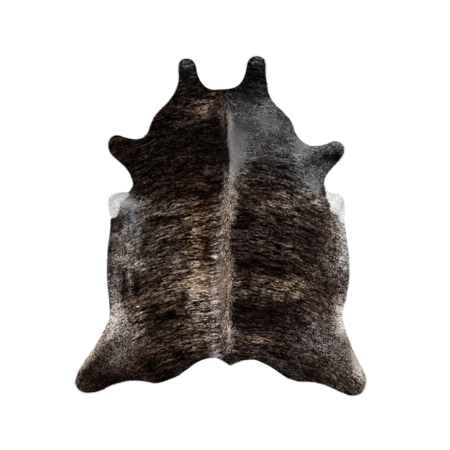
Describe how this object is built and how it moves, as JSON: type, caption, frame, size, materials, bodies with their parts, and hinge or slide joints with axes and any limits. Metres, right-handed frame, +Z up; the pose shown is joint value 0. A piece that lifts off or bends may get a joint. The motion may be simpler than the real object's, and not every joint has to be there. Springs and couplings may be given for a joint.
{
  "type": "cowhide rug",
  "caption": "Flat cowhide rug with the hair left on, trimmed to the hide's own outline with neck tabs, forelegs, flank corners, hind legs and a tail point.",
  "frame": {"origin": "on the floor, under the middle of the hide's box", "axes": "+Z up, out of the hair side; +Y towards the neck; +X to the right of the hide seen from above"},
  "size_m": [1.827, 2.1342, 0.0125],
  "materials": {
    "hair_on_hide": "short glossy hair over suede, dark brindle"
  },
  "bodies": {
    "root": {"hide": "hair_on_hide"}
  },
  "joints": []
}
